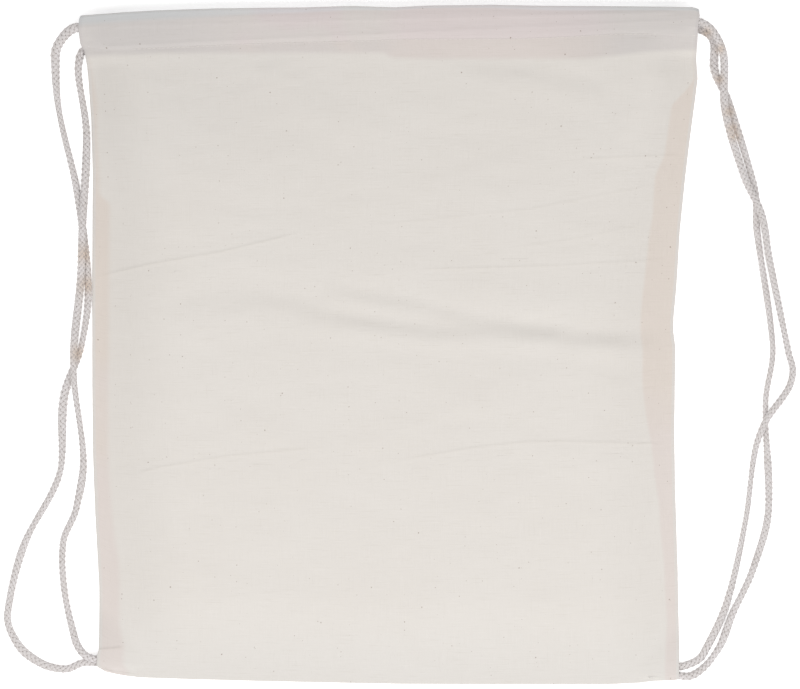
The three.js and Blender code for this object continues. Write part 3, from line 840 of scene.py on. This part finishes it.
# Thin creases, too fine for the mesh, with their strength
CREASES = [
    (1.00, [(-0.1834, 0.0410), (-0.1484, 0.0490), (-0.1056, 0.0563), (-0.0516, 0.0693)]),
    (0.45, [(-0.0182, 0.0724), (0.0872, 0.0830), (0.1770, 0.1010)]),
    (0.75, [(0.0128, 0.0458), (0.0560, 0.0466), (0.1058, 0.0482), (0.1554, 0.0510), (0.1780, 0.0536)]),
    (0.40, [(0.0748, 0.0590), (0.1180, 0.0650), (0.1585, 0.0740)]),
    (0.90, [(-0.1600, -0.0822), (-0.1465, -0.0776), (-0.0988, -0.0695), (-0.0430, -0.0646)]),
    (0.90, [(0.0035, -0.0727), (0.0562, -0.0640), (0.0872, -0.0609), (0.1182, -0.0609), (0.1770, -0.0627)]),
    (0.80, [(0.1180, 0.1140), (0.1827, 0.1171)]),
    (0.50, [(-0.1205, 0.0101), (-0.1050, 0.0095)]),
    (0.50, [(0.1554, -0.2053), (0.1790, -0.2047)]),
    (1.60, [(-0.1830, -0.1899), (-0.1790, -0.1898), (-0.1682, -0.1889), (-0.1650, -0.1888)]),
]

# Mounds over the cord ends that are sewn into the bottom corners
MOUNDS = [
    {"name": "left", "x": -0.1765, "y": -0.1972, "height": 0.0101, "out": 0.0125, "in": 0.0240,
     "up": 0.0260, "down": 0.0060},
    {"name": "right", "x": 0.1750, "y": -0.2028, "height": 0.0063, "out": 0.0125, "in": 0.0260,
     "up": 0.0220, "down": 0.0062},
]


front_stitches = look_up(FRONT_STITCHES)
back_stitches = look_up(BACK_STITCHES)
front_hem = look_up(FRONT_HEM)
back_hem = look_up(BACK_HEM)
back_side = look_up(BACK_SIDE)


def front_side(x, y):
    """Height of the front's edge."""
    return np.where(x < 0, look_up(FRONT_SIDE_LEFT)(y), look_up(FRONT_SIDE_RIGHT)(y))


def from_side(x, y):
    """Distance from the nearer side of the bag."""
    return np.minimum(x - left_edge(y), right_edge(y) - x)


def nominal_x(share):
    return mix(-HALF_WIDTH, HALF_WIDTH, share)


def cord_lines(z_middle):
    """X and Y of each cord's points as it runs through one casing."""
    found = []
    for row in CORDS:
        line = Route(row["route"]).line()
        inside = (line[:, 1] > CASING_LOW) & (np.abs(line[:, 2] - z_middle) < 0.0008)
        part = line[inside]
        part = part[np.argsort(part[:, 0])]
        found.append((part[:, 0], part[:, 1]))
    return found


def over_cords(x, y, z_middle, reach):
    """Bulge of a cloth over the cords in a casing, 1 above a cord's middle."""
    bulge = np.zeros(np.shape(x))
    for xs, ys in cord_lines(z_middle):
        inside = smooth((x - xs[0] + 0.004) / 0.004) * smooth((xs[-1] + 0.004 - x) / 0.004)
        bulge = np.maximum(bulge, inside * np.exp(-((y - np.interp(x, xs, ys)) / reach) ** 2))
    return bulge


def fold_relief(x, y):
    """Ridges and steps of the front, and its small waves."""
    total = 0.00013 * waves(x, y, 0.022, 0.070, 0.6, 36, seed=11)
    total = total + 0.00005 * waves(x, y, 0.009, 0.020, 0.5, 36, seed=12)
    for ridge in RIDGE_FOLDS:
        away, reached = near_line(x, y, ridge["line"])
        ends = smooth(reached / 0.15) * smooth((1 - reached) / 0.15)
        total = total + ridge["height"] * ends * np.exp(-(away / ridge["width"]) ** 2)
    for step in STEP_FOLDS:
        away, reached = near_line(x, y, step["line"])
        ends = smooth(reached / 0.2) * smooth((1 - reached) / 0.1)
        share = away / step["width"]
        total = total - step["height"] * ends * share * np.exp(-0.5 * share ** 2)
    return total


def thin_creases(x, y):
    """Signed distance from the nearest thin crease, and that crease's strength there."""
    nearest = np.full(np.shape(x), 0.008)
    strength = np.zeros(np.shape(x))
    for strong, line in CREASES:
        away, reached = near_line(x, y, line)
        nearer = np.abs(away) < np.abs(nearest)
        fade = smooth(reached / 0.12) * smooth((1 - reached) / 0.12) * smooth((0.007 - np.abs(away)) / 0.002)
        nearest = np.where(nearer, away, nearest)
        strength = np.where(nearer, strong * fade, strength)
    return nearest, strength


def stitch_pucker(x):
    """Small waves of the cloth along the stitching."""
    return 0.00010 * waves(x, np.zeros(np.shape(x)), 0.006, 0.024, 0.0, 24, seed=21)


def mound_height(x, y, mound):
    """Height of the cloth over a cord's ends in a corner."""
    out = (x - mound["x"]) * math.copysign(1.0, mound["x"])
    across = np.where(out > 0, np.exp(-(out / mound["out"]) ** 4), np.exp(-(out / mound["in"]) ** 2))
    up = y - mound["y"]
    along = np.where(up > 0, np.exp(-(up / mound["up"]) ** 2), np.exp(-(up / mound["down"]) ** 4))
    return mound["height"] * across * along


def front_panel(x, y, loft):
    """Height of the middle of the front's cloth, below the casing."""
    near_top = smooth((y - 0.085) / 0.097)
    side_run = mix(RISE_SIDE, RISE_SIDE_TOP, near_top)
    inward = from_side(x, y)
    rise = swell(inward / side_run) * swell((y - bottom_edge(x)) / RISE_BOTTOM)
    below = front_stitches(x) - y
    level = mix(loft + fold_relief(x, y), SEAM_LEVEL, np.exp(-(below / 0.009) ** 2))
    level = level + stitch_pucker(x) * np.exp(-below / 0.010)
    seam_pucker = 0.00030 * waves(x * 0.2, y, 0.010, 0.030, 0.3, 20, seed=31)
    height = mix(front_side(x, y), level, rise) + seam_pucker * rise * np.exp(-inward / 0.014)
    for mound in MOUNDS:
        height = largest(height, mound_height(x, y, mound))
    return height


def front_casing(x, y):
    """Heights of the middles of the front casing's outer and inner layers."""
    past = np.maximum(y - front_stitches(x), 0.0)
    ripple = 0.00010 * waves(x, np.zeros(np.shape(x)), 0.004, 0.016, 0.0, 24, seed=22)
    bulge = over_cords(x, y, IN_FRONT, 0.0026)
    filled = 1.0 - np.exp(-past / 0.0020)
    to_fold = smooth((y - top_edge(x) + 0.0064) / 0.0046)
    base = mix(SEAM_LEVEL, CASING_LEVEL, filled) - 0.0007 * to_fold + mix(stitch_pucker(x), ripple, filled)
    outer = IN_FRONT + largest(base - IN_FRONT, 0.00222 * bulge)
    inner = mix(SEAM_LEVEL - LAYER, 0.01275, 1.0 - np.exp(-past / 0.0007)) + 0.0006 * to_fold
    return mix(front_side(x, y), outer, smooth(from_side(x, y) / 0.013)), inner


def back_casing_inner(x, y):
    """Height of the middle of the back casing's inner layer."""
    past = y - back_stitches(x)
    bulge = over_cords(x, y, IN_BACK, 0.0029)
    near_fold = np.exp(-((top_edge(x) - 0.0032 - y) / 0.0030) ** 2)
    filled = 1.0 - np.exp(-np.maximum(past, 0.0) / 0.0022)
    return BACK_LEVEL + LAYER + largest(0.0040 * filled, 0.0049 * bulge, 0.0050 * near_fold)


def back_panel(x, y):
    """Height of the middle of the back's cloth, which lies on the floor and curls up at the seams."""
    return mix(back_side(y), BACK_LEVEL, smooth(from_side(x, y) / 0.012))


def cloth_rows(share, loft):
    """The cloth's way round the bag for each column: each row's part of the bag, its Y and its Z."""
    x_top = nominal_x(share)
    top = top_edge(x_top) - HALF_CLOTH
    back_top = top - BACK_SHORTER
    bottom = bottom_edge(x_top) + HALF_CLOTH
    stitches, hem = front_stitches(x_top), front_hem(x_top)
    stitches_behind, hem_behind = back_stitches(x_top), back_hem(x_top)
    rows = []

    def x_at(y):
        return mix(left_edge(y), right_edge(y), share)

    def panel(x, y):
        return front_panel(x, y, loft)

    def run(part, start, end, shares, height):
        for t in shares:
            y = mix(start, end, t)
            rows.append((part, y, height(x_at(y), y)))

    def turn(part, edge, depth, z_from, z_to, count, sign=1.0):
        for t in np.arange(1, count + 1) / (count + 1):
            y = edge - sign * depth * (1.0 - math.sin(math.pi * t))
            rows.append((part, y, mix(z_from, z_to, 0.5 - 0.5 * math.cos(math.pi * t))))

    fold = top - FOLD_DEPTH
    run("front hem", hem, stitches - HEM_GAP, np.arange(4) / 4, lambda x, y: panel(x, y) - LAYER)
    run("front inner", stitches, fold, (np.arange(12) / 11) ** 1.8, lambda x, y: front_casing(x, y)[1])
    outer, inner = front_casing(x_at(fold), fold)
    turn("front fold", top, FOLD_DEPTH, inner, outer, 9)
    run("front outer", fold, stitches, np.arange(25) / 24, lambda x, y: front_casing(x, y)[0])

    # The front's rows lie closer together at both its ends
    shares = np.concatenate([np.arange(1, 20) / 20 * 0.06, 0.06 + 0.91 * np.arange(134) / 134,
                             0.97 + 0.03 * np.arange(9) / 8])
    low = bottom + 0.0008
    turn_depth = np.clip((panel(x_at(low), low) - BACK_LEVEL) / 2, 0.0007, 0.0026)
    run("front", stitches, bottom + turn_depth, shares, panel)
    turn("bottom", bottom, turn_depth, rows[-1][2], BACK_LEVEL, 7, sign=-1.0)
    run("back", bottom + turn_depth, stitches_behind, np.arange(44) / 44, back_panel)

    fold = back_top - FOLD_DEPTH
    run("back outer", stitches_behind, fold, np.arange(9) / 8, back_panel)
    inner = back_casing_inner(x_at(fold), fold)
    turn("back fold", back_top, FOLD_DEPTH, back_panel(x_at(back_top), back_top), inner, 7)
    run("back inner", fold, stitches_behind, np.arange(10) / 9, back_casing_inner)
    run("back hem", stitches_behind - HEM_GAP, hem_behind, np.arange(1, 4) / 3,
        lambda x, y: np.full(np.shape(x), BACK_LEVEL + LAYER))
    return rows


def cloth_columns(settings):
    """Columns across the cloth: share of the width, distance inwards from there and lift towards the
    cloth's wrong side. Both side allowances are turned in under the panel."""
    radius = LAYER / 2

    def turned(share, sign, allowance):
        """Columns of one allowance, from its free edge to the side of the panel."""
        made = []
        for distance in np.linspace(1.0, 0.0, ALLOWANCE_COLUMNS):
            made.append((share, sign * (radius + allowance * distance), LAYER))
        for angle in np.radians((135, 90, 45)):
            made.append((share, sign * (radius - radius * math.sin(angle)), radius * (1 - math.cos(angle))))
        return made

    panel = [(share, radius * (1 - 2 * share), 0.0) for share in np.linspace(0.0, 1.0, PANEL_COLUMNS + 1)]
    left = turned(0.0, 1.0, settings.left_allowance)
    right = turned(1.0, -1.0, settings.right_allowance)
    return np.array(left + panel + right[::-1])


def turn_allowances_in(x, y, z, parts, lift, loft):
    """Y and Z of the cloth, with the allowances at the panel's own height where they lie, and lifted to
    its wrong side."""
    turned = np.where(lift > 0)[0]
    dy, dz = np.gradient(y, axis=0), np.gradient(z, axis=0)
    size = np.maximum(np.hypot(dy, dz), 1e-9)
    panel = {"front": lambda a, b: front_panel(a, b, loft), "front outer": lambda a, b: front_casing(a, b)[0],
             "back": back_panel, "back outer": back_panel}
    for i, part in enumerate(parts):
        if part in panel:
            z[i, turned] = panel[part](x[i, turned], y[i, turned])
    return y - lift[None, :] * dz / size, z + lift[None, :] * dy / size


def cloth_faces(x, parts):
    """Quads of the cloth. The casings' inner layers have none near their ends."""
    count, across = x.shape
    inner = np.array([part in ("front hem", "front inner", "back inner", "back hem") for part in parts])
    front_fold = [row for row, part in enumerate(parts) if part == "front fold"]
    back_fold = [row for row, part in enumerate(parts) if part == "back fold"]
    inner[front_fold[:4]] = True
    inner[back_fold[-3:]] = True
    drop = inner[:, None] & (np.abs(x) > INNER_LAYER_REACH)
    keep = ~(drop[:-1, :-1] | drop[1:, :-1] | drop[:-1, 1:] | drop[1:, 1:])
    i, j = np.meshgrid(np.arange(count - 1), np.arange(across - 1), indexing="ij")
    quads = np.stack([(i + 1) * across + j, (i + 1) * across + j + 1, i * across + j + 1, i * across + j],
                     axis=-1)
    return quads[keep]


def cloth_attributes(x, y):
    """Numbers that the calico reads at each corner, by name. A cover is how far a place lies past a line:
    in metres, or for the seam and the band as a share of the softness and of the width."""
    strips = np.where(x < 0, look_up(LEFT_STRIP)(y), look_up(RIGHT_STRIP)(y))
    softness = np.where(x < 0, LEFT_STRIP_SOFTNESS, RIGHT_STRIP_SOFTNESS)
    off, strength = thin_creases(x, y)
    return {
        "seam_cover": (strips - from_side(x, y)) / softness,
        "crease_off": off,
        "crease_strength": strength,
        "hem_cover": y - front_hem(x),
        "stitch_cover": y - front_stitches(x),
        "fold_light_cover": top_edge(x) - y,
        "fold_shade_cover": (top_edge(x) - y) / look_up(FOLD_SHADE_BAND)(x),
        "bottom_cover": y - bottom_edge(x),
        "side_cover": from_side(x, y),
    }


def make_pouch(settings, material):
    """The whole pouch as one cloth, from the hem of the front casing round to that of the back's."""
    share, inset, lift = cloth_columns(settings).T
    rows = cloth_rows(share, settings.loft)
    parts = [part for part, row_y, row_z in rows]
    y = np.array([row_y for part, row_y, row_z in rows])
    z = np.array([row_z for part, row_y, row_z in rows])
    x = mix(left_edge(y) + HALF_CLOTH, right_edge(y) - HALF_CLOTH, share[None, :]) + inset[None, :]
    y, z = turn_allowances_in(x, y, z, parts, lift, settings.loft)

    quads = cloth_faces(x, parts)
    used = np.unique(quads)
    number = np.full(x.size, -1)
    number[used] = np.arange(len(used))
    corners = np.stack([x, y, z], axis=-1).reshape(-1, 3)
    pouch = add_mesh("calico_pouch", corners[used], number[quads])

    middle = len(share) // 2
    flat_x = nominal_x(share) + np.where(lift > 0, -inset, inset)
    flat_y = run_length(np.stack([y[:, middle], z[:, middle]], axis=-1))
    flat = np.stack(np.broadcast_arrays(flat_x[None, :], flat_y[:, None]), axis=-1).reshape(-1, 2)[used]
    add_uv(pouch.data, "flat", flat[number[quads]].reshape(-1, 2))
    for name, values in cloth_attributes(x, y).items():
        add_attribute(pouch.data, name, values.reshape(-1)[used])
    pouch.data.materials.append(material)
    solid = pouch.modifiers.new("Cloth thickness", "SOLIDIFY")
    solid.thickness = settings.thickness
    solid.offset = 0.0
    return pouch


# Stitching


STITCHED = (-0.1870, 0.1885)     # X of the first and the last stitch
STITCH_POINTS = 260
STITCHES_BELOW = 0.0003          # how far below the casing's own line the thread shows


def stitch_tree(material):
    """Geometry Nodes that lay a row of stitches along an edge line."""
    tree = bpy.data.node_groups.new("Stitch Row", "GeometryNodeTree")
    tree.interface.new_socket("Geometry", in_out="INPUT", socket_type="NodeSocketGeometry")
    for name in ("Pitch", "Stitch Length", "Thread"):
        tree.interface.new_socket(name, in_out="INPUT", socket_type="NodeSocketFloat")
    tree.interface.new_socket("Seed", in_out="INPUT", socket_type="NodeSocketInt")
    tree.interface.new_socket("Geometry", in_out="OUTPUT", socket_type="NodeSocketGeometry")
    lay = Nodes(tree)
    given = lay.node("NodeGroupInput").outputs

    line = lay.node("GeometryNodeMeshToCurve", {"Mesh": given["Geometry"]})
    spaced = lay.node("GeometryNodeResampleCurve", {"Curve": line, "Length": given["Pitch"]}, mode="LENGTH")

    thread = given["Thread"]
    ball = lay.node("GeometryNodeMeshUVSphere", {"Segments": 8, "Rings": 6, "Radius": 0.5})
    size = lay.node("ShaderNodeCombineXYZ", {"X": given["Stitch Length"], "Y": thread, "Z": thread})
    stitch = lay.node("GeometryNodeTransform", {"Geometry": ball, "Scale": size})

    way = lay.node("GeometryNodeInputTangent")
    aim = lay.node("FunctionNodeAlignRotationToVector", {"Vector": way}, axis="X")
    sizes = {0: (0.86, 0.9, 0.9), 1: (1.08, 1.1, 1.1), "Seed": given["Seed"]}
    vary = lay.node("FunctionNodeRandomValue", sizes, data_type="FLOAT_VECTOR")
    laid = lay.node("GeometryNodeInstanceOnPoints",
                    {"Points": spaced, "Instance": stitch, "Rotation": aim, "Scale": vary})
    whole = lay.node("GeometryNodeRealizeInstances", {"Geometry": laid})
    finish = lay.node("GeometryNodeSetMaterial", {"Geometry": whole, "Material": material})
    lay.node("NodeGroupOutput", {"Geometry": finish})
    return tree


def make_stitches(name, line, tree, settings, seed):
    """One row of stitches along a line of points, made into a plain mesh."""
    mesh = bpy.data.meshes.new(name)
    mesh.from_pydata(line.tolist(), [[k, k + 1] for k in range(len(line) - 1)], [])
    guide = add_object(name + "_line", mesh)
    nodes = guide.modifiers.new("Stitch Row", "NODES")
    nodes.node_group = tree
    values = {"Pitch": settings.pitch, "Stitch Length": settings.length, "Thread": settings.thread,
              "Seed": seed}
    for socket in tree.interface.items_tree:
        if socket.in_out == "INPUT" and socket.name in values:
            nodes[socket.identifier] = values[socket.name]
    seen = guide.evaluated_get(bpy.context.evaluated_depsgraph_get())
    made = bpy.data.meshes.new_from_object(seen)
    made.name = name
    made.shade_smooth()
    bpy.data.objects.remove(guide)
    return add_object(name, made)


# Stage


PHOTO_MIDDLE = (0.00663, -0.00043)      # point of the floor in the middle of the photograph
LIGHT_PLACE = (0.09, -0.40, 1.20)


def make_camera(settings):
    """Camera that looks straight down, as the photograph's does."""
    camera_data = bpy.data.cameras.new("camera")
    distance = settings.camera_height - POUCH_TOP / 2
    camera_data.lens = camera_data.sensor_width * distance / settings.photo_width
    camera_data.clip_end = 50.0
    camera = add_object("camera", camera_data)
    camera.location = (*PHOTO_MIDDLE, settings.camera_height)
    bpy.context.scene.camera = camera


def make_light(settings):
    """Long soft light in front of the bag, and an even light from all round."""
    light_data = bpy.data.lights.new("soft_light", "AREA")
    light_data.shape = "RECTANGLE"
    light_data.size = settings.key_length
    light_data.size_y = settings.key_width
    light_data.energy = settings.key_power
    light = add_object("soft_light", light_data)
    light.location = LIGHT_PLACE
    light.rotation_euler = (math.atan2(-light.location.y, light.location.z), 0.0, 0.0)
    light.visible_camera = False

    world = bpy.data.worlds.new("surroundings")
    world.use_nodes = True
    sky = world.node_tree.nodes["Background"]
    sky.inputs["Color"].default_value = (1.0, 1.0, 1.0, 1.0)
    sky.inputs["Strength"].default_value = settings.sky_strength
    bpy.context.scene.world = world
    bpy.context.scene.view_settings.view_transform = "Standard"


# Operators


class BAG_OT_stage(bpy.types.Operator):
    """Make the camera, the floor and the light"""

    bl_idname = "bag.stage"
    bl_label = "Stage"

    def execute(self, context):
        settings = context.scene.bag_stage
        make_camera(settings)
        make_light(settings)
        half = settings.floor_size / 2
        corners = np.array([(-half, -half, 0.0), (half, -half, 0.0), (half, half, 0.0), (-half, half, 0.0)])
        floor = add_mesh("floor", corners, np.array([[0, 1, 2, 3]]), smooth_faces=False)
        floor.data.materials.append(floor_material(settings.floor_colour, settings.floor_glow))
        return {"FINISHED"}


class BAG_OT_cords(bpy.types.Operator):
    """Make the two braided cords"""

    bl_idname = "bag.cords"
    bl_label = "Cords"

    def execute(self, context):
        settings = context.scene.bag_cords
        material = cord_material(settings.colour)
        for row in CORDS:
            cord, centres = make_cord(row, settings, material)
            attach(cord, "root")
            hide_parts(row["name"])
        return {"FINISHED"}


class BAG_OT_pouch(bpy.types.Operator):
    """Make the pouch from one cloth"""

    bl_idname = "bag.pouch"
    bl_label = "Pouch"

    def execute(self, context):
        settings = context.scene.bag_cloth
        pouch = make_pouch(settings, calico_material(settings.colour))
        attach(pouch, "root")
        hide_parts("pouch")
        return {"FINISHED"}


class BAG_OT_stitches(bpy.types.Operator):
    """Make the rows of stitches that close the casings"""

    bl_idname = "bag.stitches"
    bl_label = "Stitches"

    def execute(self, context):
        settings = context.scene.bag_stitches
        tree = stitch_tree(thread_material(settings.colour))
        x = np.linspace(*STITCHED, STITCH_POINTS)
        y = front_stitches(x) - STITCHES_BELOW
        z = front_panel(x, y, context.scene.bag_cloth.loft) + 0.00025
        front = make_stitches("front_stitches", np.stack([x, y, z], axis=-1), tree, settings, seed=3)
        y = back_stitches(x) - STITCHES_BELOW
        z = back_panel(x, y) - 0.00006
        back = make_stitches("back_stitches", np.stack([x, y, z], axis=-1), tree, settings, seed=4)
        for row in (front, back):
            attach(row, "root")
        return {"FINISHED"}


class BAG_PT_panel(bpy.types.Panel):
    """Lists the bag's pieces and their sizes"""

    bl_idname = "BAG_PT_panel"
    bl_label = "Drawstring Bag"
    bl_space_type = "VIEW_3D"
    bl_region_type = "UI"
    bl_category = "Drawstring Bag"

    def draw(self, context):
        for operator, group in OPERATORS:
            box = self.layout.box()
            box.operator(operator)
            settings = getattr(context.scene, group)
            for name in settings.bl_rna.properties.keys():
                if name not in ("rna_type", "name"):
                    box.prop(settings, name)


OPERATORS = [
    ("bag.stage", "bag_stage"),
    ("bag.cords", "bag_cords"),
    ("bag.pouch", "bag_cloth"),
    ("bag.stitches", "bag_stitches"),
]
SETTINGS = {
    "bag_stage": BagStageSettings,
    "bag_cords": BagCordSettings,
    "bag_cloth": BagClothSettings,
    "bag_stitches": BagStitchSettings,
}
CLASSES = [*SETTINGS.values(), BAG_OT_stage, BAG_OT_cords, BAG_OT_pouch, BAG_OT_stitches, BAG_PT_panel]


def register():
    for one in CLASSES:
        bpy.utils.register_class(one)
    for name, group in SETTINGS.items():
        setattr(bpy.types.Scene, name, bpy.props.PointerProperty(type=group))


def unregister():
    for name in SETTINGS:
        delattr(bpy.types.Scene, name)
    for one in reversed(CLASSES):
        bpy.utils.unregister_class(one)


def main():
    register()
    bpy.ops.bag.stage()
    bpy.ops.bag.cords()
    bpy.ops.bag.pouch()
    bpy.ops.bag.stitches()


if __name__ == "__main__":
    main()
